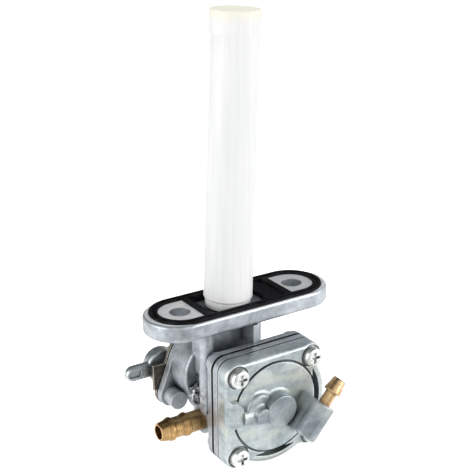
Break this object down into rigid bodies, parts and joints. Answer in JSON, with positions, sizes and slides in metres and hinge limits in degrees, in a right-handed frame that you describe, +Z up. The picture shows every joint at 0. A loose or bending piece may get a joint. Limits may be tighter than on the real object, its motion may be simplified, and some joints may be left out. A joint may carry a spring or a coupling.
{
  "type": "fuel tap",
  "caption": "Vacuum-operated fuel tap with a two-bolt tank flange, tall filter tube, turning lever, diaphragm cover, barbed fuel outlet and small vacuum pipe.",
  "frame": {"origin": "middle of the tank flange, on its top face between the two bolt holes", "axes": "+Z up into the tank along the filter tube, +X along the line of the two bolts away from the fuel outlet, -Y out of the diaphragm cover, +Y towards the lever"},
  "size_m": [0.0684, 0.0605, 0.1459],
  "materials": {
    "tap_body": "die-cast, as cast",
    "tank_gasket": "matt black",
    "filter_tube": "natural white nylon",
    "filter_cap": "natural white nylon",
    "main_standpipe": "turned",
    "valve_seal": "matt black",
    "lever": "die-cast, as cast",
    "lever_o_ring": "matt black",
    "wave_washer": "zinc plated",
    "plate_gasket": "matt black",
    "retaining_plate": "zinc plated",
    "plate_screws": "zinc plated",
    "fuel_outlet": "turned",
    "inner_diaphragm": "matt black",
    "diaphragm_spacer": "die-cast, as cast",
    "outer_diaphragm": "matt black",
    "plunger": "moulded black",
    "plunger_seal": "matt black",
    "plunger_sleeve": "turned",
    "spring_seat": "zinc plated",
    "diaphragm_spring": "drawn wire",
    "diaphragm_cover": "die-cast, as cast",
    "vacuum_nipple": "turned",
    "cover_screws": "zinc plated",
    "cover_washers": "zinc plated"
  },
  "bodies": {
    "housing": {"tap_body": "tap_body", "tank_gasket": "tank_gasket", "filter_tube": "filter_tube", "filter_cap": "filter_cap", "main_standpipe": "main_standpipe", "valve_seal": "valve_seal", "wave_washer": "wave_washer", "plate_gasket": "plate_gasket", "retaining_plate": "retaining_plate", "plate_screws": "plate_screws", "fuel_outlet": "fuel_outlet", "inner_diaphragm": "inner_diaphragm", "diaphragm_spacer": "diaphragm_spacer", "outer_diaphragm": "outer_diaphragm", "diaphragm_spring": "diaphragm_spring", "diaphragm_cover": "diaphragm_cover", "vacuum_nipple": "vacuum_nipple", "cover_screws": "cover_screws", "cover_washers": "cover_washers"},
    "lever": {"lever": "lever", "lever_o_ring": "lever_o_ring"},
    "plunger": {"plunger": "plunger", "plunger_seal": "plunger_seal", "plunger_sleeve": "plunger_sleeve", "spring_seat": "spring_seat"}
  },
  "joints": [
    {"name": "lever_turn", "type": "hinge", "parent": "housing", "child": "lever", "pos_m": [-0.0038, 0.0175, -0.0283], "axis": [0, -1, 0], "range_deg": [0, 180]},
    {"name": "plunger_lift", "type": "slide", "parent": "housing", "child": "plunger", "axis": [0, -1, 0], "range_m": [0, 0.0015], "stiffness_N_per_m": 300, "springref_m": -0.008, "deforming": ["diaphragm_spring", "inner_diaphragm", "outer_diaphragm"]}
  ]
}
